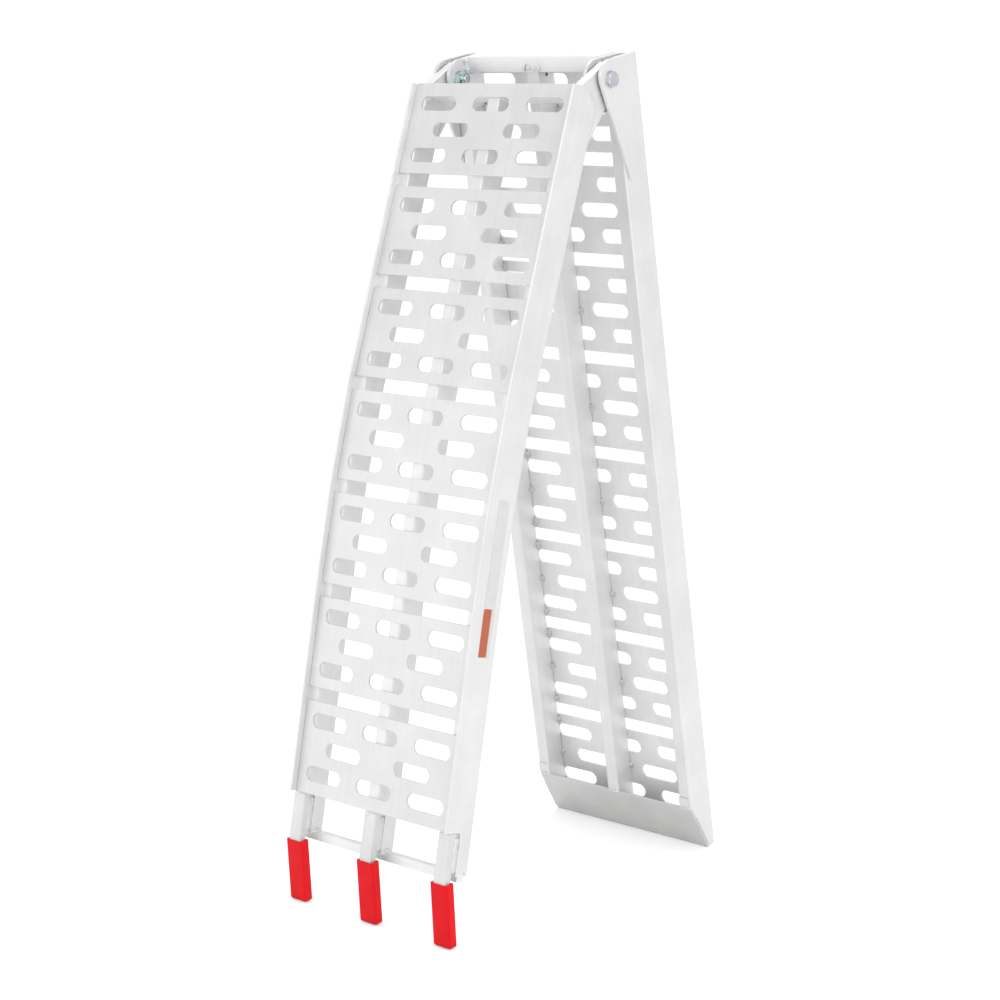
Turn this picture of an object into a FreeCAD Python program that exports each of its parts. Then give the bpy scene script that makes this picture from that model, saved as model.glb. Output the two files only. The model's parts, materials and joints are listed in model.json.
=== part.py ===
import FreeCAD, Part
import os
import math
from FreeCAD import Vector, Matrix, Placement, Rotation

# Arched folding loading ramp in welded aluminium, standing part folded as a free-standing "A".
# Frame: millimetres, +Z up, +X along the hinge axis to the user's right, the upper section
# (the half with the three fingers) on the -Y side and the lower section (the half with the
# foot plate) on the +Y side. The origin is on the ground in the middle of the footprint.
#
# Each section is described in its own coordinates:
#   x  across the ramp
#   s  along the deck surface, measured from the hinge axis towards the section's far end
#   h  height above the deck surface, so the underside of the rails is at h = -depth

# ------------------------------------------------------------------ driving dimensions
WIDTH = 286.0          # over the outer webs of the side rails
RAIL_W = 20.0          # width of the box part of a side rail
RAIL_WALL = 3.0        # rail wall, also the upstanding lip
UPPER_DEPTH = 43.7     # deck surface down to the upper rails' underside
LOWER_DEPTH = 38.5     # the same for the lower section, whose rails are shallower
LIP_H = 9.4            # lip height above the deck surface
BEAM_W = 20.0          # centre beam
BEAM_WALL = 2.5
CORNER_R = 2.4         # outer corners of the rails and of the beam's top
BEAM_BOTTOM_R = 2.0
LIP_INNER_R = 1.0
LIP_OUTER_R = 1.4

X_OUT = WIDTH / 2      # outer face of the right rail
X_IN = X_OUT - RAIL_W  # its inner face
X_MID = X_OUT - RAIL_W / 2

# deck plates
PLATE_T = 3.2
PLATE_L = 123.0
PLATE_HALF_W = 139.7   # the plates lie between the lips
PLATE_PITCH = 141.7
PLATE_CORNER_R = 2.1
ROW_EDGE = 25.5        # plate edge to the middle of the first row of slots
ROW_PITCH = 36.0
SLOT_L = 63.5
SLOT_W = 20.0
ROW_OF_3 = (-93.7, 0.0, 93.7)    # x of the slots in a row
ROW_OF_2 = (-62.5, 62.5)
UPPER_PLATES = 7
LOWER_PLATES = 8
UPPER_FIRST = 26.8     # start of the first deck plate of the upper section
LOWER_FIRST = -14.1    # start of the first deck plate of the lower section
LAST_EXTRA = 2.5       # extra length on the upper section's last plate
FIRST_EXTRA = 2.8      # extra length on its first plate, towards the hinge

# sections
HINGE_H = -55.0        # hinge axis below the deck surface
LOWER_START = -25.7    # the lower rails run this far past the hinge axis
UPPER_LEN = 1060.0     # end of the upper rails
LOWER_LEN = 1138.5     # tip of the lower rails
LOWER_LEAN = 11.14     # lower section from the vertical, degrees

# The upper section is arched by three gentle bends, each in the gap between two plates.
BENDS = [(442.5, 3.0), (584.2, 3.0), (725.9, 1.2)]   # (s of the bend's middle, degrees)
BEND_ARC = 16.0        # length of a bend along the deck surface

# fingers and boots
FINGER_T = 11.0
FINGER_TOP = -1.0      # face of the bar relative to the deck surface
FINGER_START = 1003.0  # just past the last deck plate
FINGER_START_R = 3.0   # rounding of the bar's upper edge there
FINGER_BEND_S = 1064.0
FINGER_BEND = math.radians(15.0)
FINGER_BEND_R = 12.0   # bend radius at the bar's middle
FINGER_TIP = 85.0      # straight part past the bend
TONGUE_H = 12.0
TONGUE_GAP = 7.0       # the tongue stops this far short of the rail's end
BOOT_W = 30.0
BOOT_T = 14.2
BOOT_START = 1.5       # past the bend
BOOT_L = 87.5
BOOT_EDGE_R = 2.6
BOOT_END_R = 3.4

# finger end of the upper rails
UPPER_LIP_END = 1004.0
SEAT_S = 1002.6        # the rails are opened up from here for the fingers
SEAT_H = -20.5
SEAT_R = 4.0
SEAT_MID = 1.17        # offset of the middle of the seat's rounded corner
BAR = 12.7             # square bar across the finger end
BAR_S = 1055.0
BAR_H = -38.2
BAR_INSET = 1.5        # from the rails' outer faces
BAR_CORNER_R = 1.2
CLEAR_S = 1100.0       # cutters reach past the upper rails' end and above the lips
CLEAR_H = 30.0

# foot
FOOT_S0 = 1065.5       # where the foot plate's outer face leaves the underside
FOOT_H1 = -8.6         # where it reaches the tip
FOOT_T = 3.2
FOOT_ROOF = 32.0       # the nose turns back this far along the deck line
NOSE_RAISE = 0.5       # bottom of the nose above FOOT_H1

# hinge ears
EAR_R = 23.0
EAR_BORE_R = 6.06
EAR_TOP = 18.2         # hinge axis to the ear's straight top edge
EAR_TOP_ANGLE = math.radians(41.84)   # of that edge against the deck
EAR_EXIT = 99.0        # the ear leaves the rail's underside here
EAR_STEP = 4.0         # it runs this much further inside the box
EAR_ROOF_END = 78.0    # its far end under the rail's roof

# hinge plates, bolts and rings
HINGE_PLATE_T = 5.0
LOBE_R = 22.8
LOBE_S = LOBE_R + LOWER_START   # the lobe is level with the rail end
LOBE_H = -52.0         # its middle is slightly off the hinge axis
BOLT_R = 6.0
BOLT_CHAMFER = 1.0
HEX_AF = 19.0
HEAD_H = 5.0
NUT_H = 11.5
NUT_HEX_H = 8.0
COLLAR_R = 8.6
COLLAR_FILLET = 1.2
STUD = 3.4             # bolt past the nut
WASHER_R = 11.5
WASHER_T = 1.6
SPACER_R = 12.0
SPACER_T = 2.9
X_HEAD = X_OUT + HINGE_PLATE_T + WASHER_T
X_NUT = X_IN - HINGE_PLATE_T - WASHER_T
X_COLLAR = X_NUT - NUT_H
X_STUD = X_COLLAR - STUD

# hinge-end crossbars (s and h ranges) and the vent hole in the lower beam
CROSSBAR_WALL = 2.5
CROSSBAR_R = 1.5
CROSSBAR_INNER_R = 0.4
UPPER_BAR_S = (26.2, 42.0)
UPPER_BAR_H = (-27.0, -PLATE_T)
LOWER_BAR_S = (-27.4, -5.7)
LOWER_BAR_H = (-37.5, -PLATE_T)
VENT_S = 0.0
VENT_H = -19.5
VENT_R = 2.6

# labels
LABEL_T = 0.3
LABEL_CORNER_R = 1.5

os.makedirs("parts", exist_ok=True)


# ------------------------------------------------------------------ wires and cylinders
def polygon_face(points):
    return Part.Face(Part.makePolygon(points + [points[0]]))


def rounded_wire(points, radii):
    """Closed planar wire with each corner rounded by its radius."""
    count = len(points)
    edges = []
    corners = []        # (arc start, arc end, arc middle or None)
    for i in range(count):
        corner = points[i]
        radius = radii[i]
        if radius <= 0:
            corners.append((corner, corner, None))
            continue
        back = points[i - 1] - corner
        back.normalize()
        ahead = points[(i + 1) % count] - corner
        ahead.normalize()
        half_angle = back.getAngle(ahead) / 2
        reach = radius / math.tan(half_angle)
        inward = back + ahead
        inward.normalize()
        centre = corner + inward * (radius / math.sin(half_angle))
        corners.append((corner + back * reach, corner + ahead * reach, centre - inward * radius))
    for i in range(count):
        start, end, middle = corners[i]
        if middle is not None:
            edges.append(Part.Arc(start, middle, end).toShape())
        following = corners[(i + 1) % count][0]
        if (following - end).Length > 1e-6:
            edges.append(Part.makeLine(end, following))
    return Part.Wire(Part.__sortEdges__(edges))


def x_cylinder(radius, x0, x1, y=0.0, z=0.0):
    return Part.makeCylinder(radius, x1 - x0, Vector(x0, y, z), Vector(1, 0, 0))


def x_cone(radius0, radius1, x0, x1):
    return Part.makeCone(radius0, radius1, x1 - x0, Vector(x0, 0, 0), Vector(1, 0, 0))


def span(side, x0, x1):
    """The x range x0..x1 of the right side (+1), or its mirror image on the left (-1)."""
    return sorted((side * x0, side * x1))


def mirrored(shape):
    return shape.mirror(Vector(0, 0, 0), Vector(1, 0, 0))


# ------------------------------------------------------------------ section frames
def moved(point, direction, distance):
    return (point[0] + distance * direction[0], point[1] + distance * direction[1])


class Section:
    """Half of the ramp: a chain of straight pieces and bends, seen in the YZ plane.

    Shapes are modelled flat, at (x, sign * s, h), and then placed on one straight piece.
    """

    def __init__(self, sign, depth, hinge, lean_degrees, bends):
        self.sign = sign        # +1: runs down towards +Y; -1: towards -Y
        self.depth = depth
        self.straights = []     # (start s, end s, deck point (y, z) at the start, lean)
        self.bends = []         # (start s, angle, centre (y, z))
        lean = math.radians(lean_degrees)
        along, up = self.directions(lean)
        start = -100.0          # well before the hinge
        point = moved(moved(hinge, up, -HINGE_H), along, start)
        for middle, degrees in bends:
            bend_start = middle - BEND_ARC / 2
            angle = math.radians(degrees)
            radius = BEND_ARC / angle
            self.straights.append((start, bend_start, point, lean))
            along, up = self.directions(lean)
            centre = moved(moved(point, along, bend_start - start), up, -radius)
            self.bends.append((bend_start, angle, centre))
            lean -= angle
            up = self.directions(lean)[1]
            point = moved(centre, up, radius)
            start = bend_start + BEND_ARC
        self.straights.append((start, 5000.0, point, lean))

    def directions(self, lean):
        """Unit (y, z) vectors along s and along h."""
        return ((self.sign * math.sin(lean), -math.cos(lean)),
                (self.sign * math.cos(lean), math.sin(lean)))

    def index(self, s):
        """The straight piece at s; a bend is shared between its neighbours."""
        for i, straight in enumerate(self.straights):
            if s <= straight[1] + BEND_ARC / 2:
                return i

    def placement(self, piece):
        start, _, point, lean = self.straights[piece]
        along, up = self.directions(lean)
        origin = moved(point, along, -start)
        return Placement(Matrix(1, 0, 0, 0,
                                0, self.sign * along[0], up[0], origin[0],
                                0, self.sign * along[1], up[1], origin[1],
                                0, 0, 0, 1))

    def point(self, s, h):
        """(y, z) of a point of the section."""
        start, _, point, lean = self.straights[self.index(s)]
        along, up = self.directions(lean)
        return moved(moved(point, along, s - start), up, h)

    def place(self, shape, piece=0):
        shape = shape.copy()
        shape.Placement = self.placement(piece).multiply(shape.Placement)
        return shape

    def flat(self, x, s, h):
        return Vector(x, self.sign * s, h)

    def prism(self, outline, x0, x1):
        """Flat prism of an (s, h) outline; a third item marks the middle point of an arc."""
        points = [self.flat(x0, p[0], p[1]) for p in outline + outline[:1]]
        edges = []
        i = 0
        while i < len(outline):
            if len((outline + outline[:1])[i + 1]) == 3:
                edges.append(Part.Arc(*points[i:i + 3]).toShape())
                i += 2
            else:
                edges.append(Part.makeLine(points[i], points[i + 1]))
                i += 1
        face = Part.Face(Part.Wire(Part.__sortEdges__(edges)))
        return face.extrude(Vector(x1 - x0, 0, 0))

    def box(self, x_range, s_range, h_range):
        x0, x1 = x_range
        y0, y1 = sorted(self.sign * s for s in s_range)
        h0, h1 = h_range
        return Part.makeBox(x1 - x0, y1 - y0, h1 - h0, Vector(x0, y0, h0))

    def sweep(self, profile, s0, s1):
        """profile(section, s) swept from s0 to s1, bends included, already placed."""
        pieces = []
        for i, (start, end, _, _) in enumerate(self.straights):
            near, far = max(start, s0), min(end, s1)
            if far - near > 0.01:
                piece = profile(self, near).extrude(Vector(0, self.sign * (far - near), 0))
                piece.Placement = self.placement(i)
                pieces.append(piece)
            if i < len(self.bends):
                bend_start, angle, centre = self.bends[i]
                if s0 < bend_start and s1 > bend_start + BEND_ARC:
                    face = profile(self, bend_start)
                    face.Placement = self.placement(i)
                    pieces.append(face.revolve(Vector(0, *centre), Vector(1, 0, 0),
                                               -self.sign * math.degrees(angle)))
        if len(pieces) == 1:
            return pieces[0]
        return pieces[0].fuse(pieces[1:]).removeSplitter()


# ------------------------------------------------------------------ stance
def finger_point(distance, offset=0.0):
    """(s, h) at a distance past a finger's bend, offset from its middle line to the deck side."""
    sine, cosine = math.sin(FINGER_BEND), math.cos(FINGER_BEND)
    s = FINGER_BEND_S + FINGER_BEND_R * sine
    h = FINGER_TOP - FINGER_T / 2 - FINGER_BEND_R * (1 - cosine)
    return s + cosine * distance + sine * offset, h - sine * distance + cosine * offset


# (s, h) of the two ends of a boot's deck-side face; the far one rests on the ground
BOOT_NEAR = finger_point(BOOT_START, BOOT_T / 2)
BOOT_FAR = finger_point(BOOT_START + BOOT_L, BOOT_T / 2)


def upper_section(hinge, lean):
    return Section(-1, UPPER_DEPTH, hinge, lean, BENDS)


def lower_section(hinge):
    return Section(1, LOWER_DEPTH, hinge, LOWER_LEAN, [])


def lean_for_ground(hinge):
    """Lean of the upper section, in degrees, at which the boots touch the ground."""
    low, high = 10.0, 25.0
    for _ in range(60):
        middle = (low + high) / 2
        if upper_section(hinge, middle).point(*BOOT_FAR)[1] > 0:
            high = middle
        else:
            low = middle
    return (low + high) / 2


# The hinge height follows from the foot edge on the ground.
_lean = math.radians(LOWER_LEAN)
HINGE_Z = LOWER_LEN * math.cos(_lean) - (FOOT_H1 - HINGE_H) * math.sin(_lean)
UPPER_LEAN = lean_for_ground((0.0, HINGE_Z))

# The footprint's middle is put at y = 0.
_trial = upper_section((0.0, HINGE_Z), UPPER_LEAN)
_front = min(_trial.point(s, h)[0] for s, h in (BOOT_FAR, BOOT_NEAR, (UPPER_LIP_END, LIP_H)))
_back = lower_section((0.0, HINGE_Z)).point(LOWER_LEN, LIP_H)[0]
HINGE = (-(_front + _back) / 2, HINGE_Z)

UPPER = upper_section(HINGE, UPPER_LEAN)
LOWER = lower_section(HINGE)
FINGER_END = -1        # last straight piece of the upper section


# ------------------------------------------------------------------ output
def write(name, shape):
    solids = shape.Solids
    if not solids:
        raise SystemExit(name + " has no solid")
    shape = solids[0] if len(solids) == 1 else Part.makeCompound(solids)
    if not shape.isValid():
        raise SystemExit(name + " is not valid")
    shape.exportStep("parts/" + name + ".step")


def write_pair(name, right):
    write(name + "_right", right)
    write(name + "_left", mirrored(right))


# ------------------------------------------------------------------ profiles
def hollow_profile(section, s, outer, radii, inner):
    """Face across the section at s from (x, h) outlines."""
    outer_wire = rounded_wire([section.flat(x, s, h) for x, h in outer], radii)
    hole = polygon_face([section.flat(x, s, h) for x, h in inner])
    return Part.Face(outer_wire).cut(hole).Faces[0]


def rail_profile(section, s, side):
    """A box with an upstanding outer lip."""
    bottom = -section.depth
    outer = [(X_IN, -PLATE_T), (X_OUT - RAIL_WALL, -PLATE_T), (X_OUT - RAIL_WALL, LIP_H),
             (X_OUT, LIP_H), (X_OUT, bottom), (X_IN, bottom)]
    left, right = X_IN + RAIL_WALL, X_OUT - RAIL_WALL
    top = -PLATE_T - RAIL_WALL
    inner = [(left, top), (right, top), (right, bottom + RAIL_WALL), (left, bottom + RAIL_WALL)]
    return hollow_profile(section, s, [(side * x, h) for x, h in outer],
                          [CORNER_R, 0.0, LIP_INNER_R, LIP_OUTER_R, CORNER_R, CORNER_R],
                          [(side * x, h) for x, h in inner])


def beam_profile(section, s):
    def rectangle(inset):
        half = BEAM_W / 2 - inset
        top, bottom = -PLATE_T - inset, -section.depth + inset
        return [(-half, top), (half, top), (half, bottom), (-half, bottom)]
    return hollow_profile(section, s, rectangle(0.0),
                          [CORNER_R, CORNER_R, BEAM_BOTTOM_R, BEAM_BOTTOM_R],
                          rectangle(BEAM_WALL))


def rail_sweep(section, side, s0, s1):
    return section.sweep(lambda sec, s: rail_profile(sec, s, side), s0, s1)


def bar_face(section, x, s_range, h_range, radius, inset=0.0):
    """Rounded rectangle in the plane at x."""
    s0, s1 = s_range[0] + inset, s_range[1] - inset
    h0, h1 = h_range[0] + inset, h_range[1] - inset
    corners = [(s0, h0), (s1, h0), (s1, h1), (s0, h1)]
    return Part.Face(rounded_wire([section.flat(x, s, h) for s, h in corners], [radius] * 4))


def hinge_crossbar(section, half_length, s_range, h_range):
    """Rectangular tube across the section."""
    outer = bar_face(section, -half_length, s_range, h_range, CROSSBAR_R)
    inner = bar_face(section, -half_length, s_range, h_range, CROSSBAR_INNER_R, CROSSBAR_WALL)
    tube = outer.cut(inner).Faces[0].extrude(Vector(2 * half_length, 0, 0))
    return section.place(tube)


# ------------------------------------------------------------------ deck plates
def slot_face(x, y, z):
    """Full-radius slot, long in x."""
    radius = SLOT_W / 2
    half = SLOT_L / 2 - radius
    y0, y1 = y - radius, y + radius

    def end(direction):
        x_end = x + direction * half
        return Part.Arc(Vector(x_end, direction * -radius + y, z),
                        Vector(x_end + direction * radius, y, z),
                        Vector(x_end, direction * radius + y, z)).toShape()
    return Part.Face(Part.Wire([
        Part.makeLine(Vector(x - half, y0, z), Vector(x + half, y0, z)),
        end(1),
        Part.makeLine(Vector(x + half, y1, z), Vector(x - half, y1, z)),
        end(-1)]))


def deck_plate(section, s0, lead=0.0, extra=0.0):
    """Flat plate with three rows of slots; lead and extra lengthen its near and far ends."""
    near, far = s0 - lead, s0 + PLATE_L + extra
    corners = [(-PLATE_HALF_W, near), (PLATE_HALF_W, near),
               (PLATE_HALF_W, far), (-PLATE_HALF_W, far)]
    outline = rounded_wire([section.flat(x, s, -PLATE_T) for x, s in corners],
                           [PLATE_CORNER_R] * 4)
    slots = []
    for k, row in enumerate((ROW_OF_3, ROW_OF_2, ROW_OF_3)):
        s = s0 + ROW_EDGE + k * ROW_PITCH
        slots += [slot_face(x, section.sign * s, -PLATE_T) for x in row]
    plate = Part.Face(outline).cut(slots).extrude(Vector(0, 0, PLATE_T))
    return section.place(plate, section.index(s0 + PLATE_L / 2))


for k in range(UPPER_PLATES):
    lead = FIRST_EXTRA if k == 0 else 0.0
    extra = LAST_EXTRA if k == UPPER_PLATES - 1 else 0.0
    write("upper_deck_plate_%d" % (k + 1),
          deck_plate(UPPER, UPPER_FIRST + k * PLATE_PITCH, lead, extra))
for k in range(LOWER_PLATES):
    write("lower_deck_plate_%d" % (k + 1), deck_plate(LOWER, LOWER_FIRST + k * PLATE_PITCH))


# ------------------------------------------------------------------ upper rails and beam
# (s, h) outlines of what is cut off a rail's hinge end. The rail's outer and inner halves share
# the upper part of the cut and differ below it.
CUT_TOP = [(-40, 20), (28.7, 20), (26.8, 9.4), (22.9, -13.5), (22.8, -16.2)]
CUT_OUTER = CUT_TOP + [(28.6, -24.9), (35.6, -35.5), (43.8, -42.0), (47.5, -44.5),
                       (47.5, -60), (-40, -60)]
CUT_INNER = CUT_TOP + [(26.7, -29.4), (38.0, -37.2), (47.0, -44.5), (47.0, -60), (-40, -60)]


def finger_seat(x0, x1):
    """Opening for a finger: the roof and the upper part of the webs are cut away."""
    outline = [(SEAT_S, CLEAR_H), (SEAT_S, SEAT_H + SEAT_R),
               (SEAT_S + SEAT_MID, SEAT_H + SEAT_MID, "arc"),
               (SEAT_S + SEAT_R, SEAT_H), (CLEAR_S, SEAT_H), (CLEAR_S, CLEAR_H)]
    return UPPER.place(UPPER.prism(outline, x0, x1), FINGER_END)


def bar_notch(x0, x1):
    """Room for the finger crossbar."""
    return UPPER.place(UPPER.box((x0, x1), (BAR_S, CLEAR_S), (BAR_H, BAR_H + BAR)), FINGER_END)


def upper_rail(side):
    rail = rail_sweep(UPPER, side, -10.0, UPPER_LEN)
    whole = span(side, X_IN - 1, X_OUT + 1)
    outer_cut = UPPER.prism(CUT_OUTER, *span(side, X_MID, X_OUT + 1))
    inner_cut = UPPER.prism(CUT_INNER, *span(side, X_IN - 1, X_MID))
    # the floor of the box is opened where the hinge ear comes through
    slot = UPPER.box(span(side, X_IN + RAIL_WALL, X_OUT - RAIL_WALL), (0, EAR_EXIT),
                     (-UPPER_DEPTH - 1, -UPPER_DEPTH + RAIL_WALL))
    rail = rail.cut([UPPER.place(cutter) for cutter in (outer_cut, inner_cut, slot)])
    lip = UPPER.place(UPPER.box(whole, (UPPER_LIP_END, CLEAR_S), (0.0, CLEAR_H)), FINGER_END)
    return rail.cut([finger_seat(*whole), bar_notch(*whole), lip])


def upper_centre_beam():
    beam = UPPER.sweep(beam_profile, UPPER_BAR_S[1], UPPER_LEN)
    return beam.cut([finger_seat(-BEAM_W, BEAM_W), bar_notch(-BEAM_W, BEAM_W)])


def finger_crossbar():
    face = bar_face(UPPER, -X_OUT + BAR_INSET, (BAR_S, BAR_S + BAR), (BAR_H, BAR_H + BAR),
                    BAR_CORNER_R)
    return UPPER.place(face.extrude(Vector(WIDTH - 2 * BAR_INSET, 0, 0)), FINGER_END)


write("upper_rail_right", upper_rail(1))
write("upper_rail_left", upper_rail(-1))
write("upper_hinge_crossbar", hinge_crossbar(UPPER, X_IN, UPPER_BAR_S, UPPER_BAR_H))
write("upper_centre_beam", upper_centre_beam())
write("finger_crossbar", finger_crossbar())


# ------------------------------------------------------------------ fingers and boots
def finger(x, tongue_w):
    """Bent bar with a tongue that fits down inside the box."""
    top = FINGER_TOP
    bottom = top - FINGER_T
    half = FINGER_T / 2

    def bend_middle(radius):
        return (FINGER_BEND_S + radius * math.sin(FINGER_BEND / 2),
                top - half - FINGER_BEND_R + radius * math.cos(FINGER_BEND / 2), "arc")
    round_mid = FINGER_START_R * (1 - math.cos(math.pi / 4))
    outline = [(FINGER_START, bottom), (FINGER_START, top - FINGER_START_R),
               (FINGER_START + round_mid, top - round_mid, "arc"),
               (FINGER_START + FINGER_START_R, top), (FINGER_BEND_S, top),
               bend_middle(FINGER_BEND_R + half),
               finger_point(0.0, half), finger_point(FINGER_TIP, half),
               finger_point(FINGER_TIP, -half), finger_point(0.0, -half),
               bend_middle(FINGER_BEND_R - half),
               (FINGER_BEND_S, bottom)]
    bar = UPPER.prism(outline, x - RAIL_W / 2, x + RAIL_W / 2)
    tongue = UPPER.box((x - tongue_w / 2, x + tongue_w / 2),
                       (FINGER_START, UPPER_LEN - TONGUE_GAP), (bottom - TONGUE_H, bottom))
    return UPPER.place(bar.fuse(tongue).removeSplitter(), FINGER_END)


def boot(x):
    """Rounded sleeve, built straight towards -Y and then turned down with the finger."""
    body = Part.makeBox(BOOT_W, BOOT_L, BOOT_T, Vector(-BOOT_W / 2, -BOOT_L, -BOOT_T / 2))
    long_edges = [e for e in body.Edges if abs(e.tangentAt(e.FirstParameter).y) > 0.9]
    body = body.makeFillet(BOOT_EDGE_R, long_edges)
    end_edges = [e for e in body.Edges if abs(e.BoundBox.YMin + BOOT_L) < 1e-3
                 and abs(e.BoundBox.YMax + BOOT_L) < 1e-3]
    # the end radius is larger than the corner radius it runs round, so this fillet may fail;
    # the end then stays sharp
    try:
        body = body.makeFillet(BOOT_END_R, end_edges)
    except Exception:
        pass
    cavity_l = FINGER_TIP - BOOT_START
    body = body.cut(Part.makeBox(RAIL_W, cavity_l + 1.0, FINGER_T,
                                 Vector(-RAIL_W / 2, -cavity_l, -FINGER_T / 2)))
    s, h = finger_point(BOOT_START)
    turn = Placement(UPPER.flat(x, s, h), Rotation(Vector(1, 0, 0), math.degrees(FINGER_BEND)))
    body.Placement = turn.multiply(body.Placement)
    return UPPER.place(body, FINGER_END)


for place_name, x, tongue_w in (("left", -X_MID, RAIL_W - 2 * RAIL_WALL),
                                ("centre", 0.0, BEAM_W - 2 * BEAM_WALL),
                                ("right", X_MID, RAIL_W - 2 * RAIL_WALL)):
    write("finger_" + place_name, finger(x, tongue_w))
    write("finger_boot_" + place_name, boot(x))


# ------------------------------------------------------------------ hinge ears
def tangent_point(s, h, centre_s, centre_h, radius):
    """Where the lower tangent from (s, h), a point beyond the lobe, touches the circle."""
    ds, dh = s - centre_s, h - centre_h
    angle = math.atan2(dh, ds) - math.acos(radius / math.hypot(ds, dh))
    return centre_s + radius * math.cos(angle), centre_h + radius * math.sin(angle)


def hinge_ear():
    """Right ear: a lobe round the hinge axis whose straight top edge runs into the rail's box."""
    x0, x1 = X_IN + RAIL_WALL, X_OUT - RAIL_WALL
    roof = -PLATE_T - RAIL_WALL
    floor = -UPPER_DEPTH + RAIL_WALL
    sine, cosine = math.sin(EAR_TOP_ANGLE), math.cos(EAR_TOP_ANGLE)
    nearest = (-EAR_TOP * sine, HINGE_H + EAR_TOP * cosine)   # of the top edge to the axis

    def top_edge(distance):
        return moved(nearest, (cosine, sine), distance)
    top_end = top_edge((roof - nearest[1]) / sine)
    outline = [top_end, nearest, (0.0, HINGE_H),
               tangent_point(EAR_EXIT, -UPPER_DEPTH, 0.0, HINGE_H, EAR_R),
               (EAR_EXIT, -UPPER_DEPTH), (EAR_EXIT, floor), (EAR_EXIT + EAR_STEP, floor),
               (EAR_ROOF_END, roof)]
    body = UPPER.prism(outline, x0, x1)
    lobe = x_cylinder(EAR_R, x0, x1, z=HINGE_H)
    above = UPPER.prism([top_end, top_edge(-80.0), (-90.0, 40.0), (top_end[0], 40.0)],
                        X_IN, X_OUT)
    ear = body.fuse(lobe.cut(above)).removeSplitter()
    return UPPER.place(ear.cut(x_cylinder(EAR_BORE_R, X_IN, X_OUT, z=HINGE_H)))


write_pair("hinge_ear", hinge_ear())


# ------------------------------------------------------------------ lower section
FOOT_ANGLE = math.atan2(FOOT_H1 + LOWER_DEPTH, LOWER_LEN - FOOT_S0)   # foot against the deck
# inner corner of the foot plate's upper edge, which is cut square
FOOT_EDGE = (FOOT_S0 - FOOT_T * math.sin(FOOT_ANGLE),
             -LOWER_DEPTH + FOOT_T * math.cos(FOOT_ANGLE))


def foot_inner(s):
    """(s, h) on the foot plate's inner face."""
    return s, (-LOWER_DEPTH + (s - FOOT_S0) * math.tan(FOOT_ANGLE)
               + FOOT_T / math.cos(FOOT_ANGLE))


def foot_cut(x0, x1):
    """Cuts the rails and the beam off on the foot plate's inner face and square-cut edge."""
    outline = [FOOT_EDGE, foot_inner(1200), (1200, -200), (FOOT_S0, -200),
               (FOOT_S0, -LOWER_DEPTH)]
    return LOWER.place(LOWER.prism(outline, x0, x1))


def lower_rail(side):
    rail = rail_sweep(LOWER, side, LOWER_START, LOWER_LEN)
    inside = span(side, X_IN + RAIL_WALL - 0.3, X_OUT - RAIL_WALL + 0.3)
    # room inside the hinge end for the upper section's ear, when unfolded and when folded
    pocket = LOWER.box(inside, (LOWER_START - 1, 26.0), (-LOWER_DEPTH - 1, -9.0))
    slot = LOWER.box(inside, (20.0, 47.0), (-LOWER_DEPTH - 1, -LOWER_DEPTH + RAIL_WALL + 0.5))
    return rail.cut([foot_cut(*span(side, X_IN - 1, X_OUT + 1)),
                     LOWER.place(pocket), LOWER.place(slot)])


def lower_centre_beam():
    """Beam with a vent hole in its right web."""
    beam = LOWER.sweep(beam_profile, LOWER_BAR_S[1], LOWER_LEN - FOOT_T)
    vent = x_cylinder(VENT_R, BEAM_W / 2 - 4.0, BEAM_W / 2 + 4.0, VENT_S, VENT_H)
    return beam.cut([foot_cut(-BEAM_W, BEAM_W), LOWER.place(vent)])


def foot_plate():
    """Oblique plate over the cut ends, and a nose that turns back along the deck line."""
    oblique = LOWER.prism([(FOOT_S0, -LOWER_DEPTH), (LOWER_LEN, FOOT_H1),
                           foot_inner(LOWER_LEN), FOOT_EDGE], -X_OUT, X_OUT)
    across = (-X_IN, X_IN)
    nose = LOWER.box(across, (LOWER_LEN - FOOT_T, LOWER_LEN), (FOOT_H1 + NOSE_RAISE, 0.0))
    roof = LOWER.box(across, (LOWER_LEN - FOOT_ROOF, LOWER_LEN), (-FOOT_T, 0.0))
    return LOWER.place(oblique.fuse([nose, roof]).removeSplitter())


def hinge_plate(x0, x1, top, far_end):
    """Plate with a round lobe about the hinge; far_end lists the (s, h) points of its far end."""
    outline = ([(LOWER_START, top), (-4.0, top)] + far_end
               + [tangent_point(*far_end[-1], LOBE_S, LOBE_H, LOBE_R),
                  (LOBE_S, LOBE_H), (LOWER_START, LOBE_H)])
    body = LOWER.prism(outline, x0, x1)
    plate = body.fuse(x_cylinder(LOBE_R, x0, x1, LOBE_S, LOBE_H)).removeSplitter()
    return LOWER.place(plate.cut(x_cylinder(BOLT_R, x0 - 1, x1 + 1, z=HINGE_H)))


write("lower_rail_right", lower_rail(1))
write("lower_rail_left", lower_rail(-1))
write("lower_centre_beam", lower_centre_beam())
write("lower_hinge_crossbar",
      hinge_crossbar(LOWER, X_IN - HINGE_PLATE_T, LOWER_BAR_S, LOWER_BAR_H))
write("foot_plate", foot_plate())

INNER_TOP = -PLATE_T - 0.2   # the inner hinge plates stop just under the deck plates
write_pair("hinge_plate_outer", hinge_plate(X_OUT, X_OUT + HINGE_PLATE_T, -1.0,
                                            [(138.0, -29.5), (136.5, -33.0)]))
write_pair("hinge_plate_inner", hinge_plate(X_IN - HINGE_PLATE_T, X_IN, INNER_TOP,
                                            [(38.0, INNER_TOP), (45.0, -12.0), (46.5, -46.0)]))


# ------------------------------------------------------------------ hinge hardware
# Modelled about the X axis and then moved to the hinge.
def at_hinge(shape):
    shape = shape.copy()
    shape.translate(Vector(0, *HINGE))
    return shape


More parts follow.
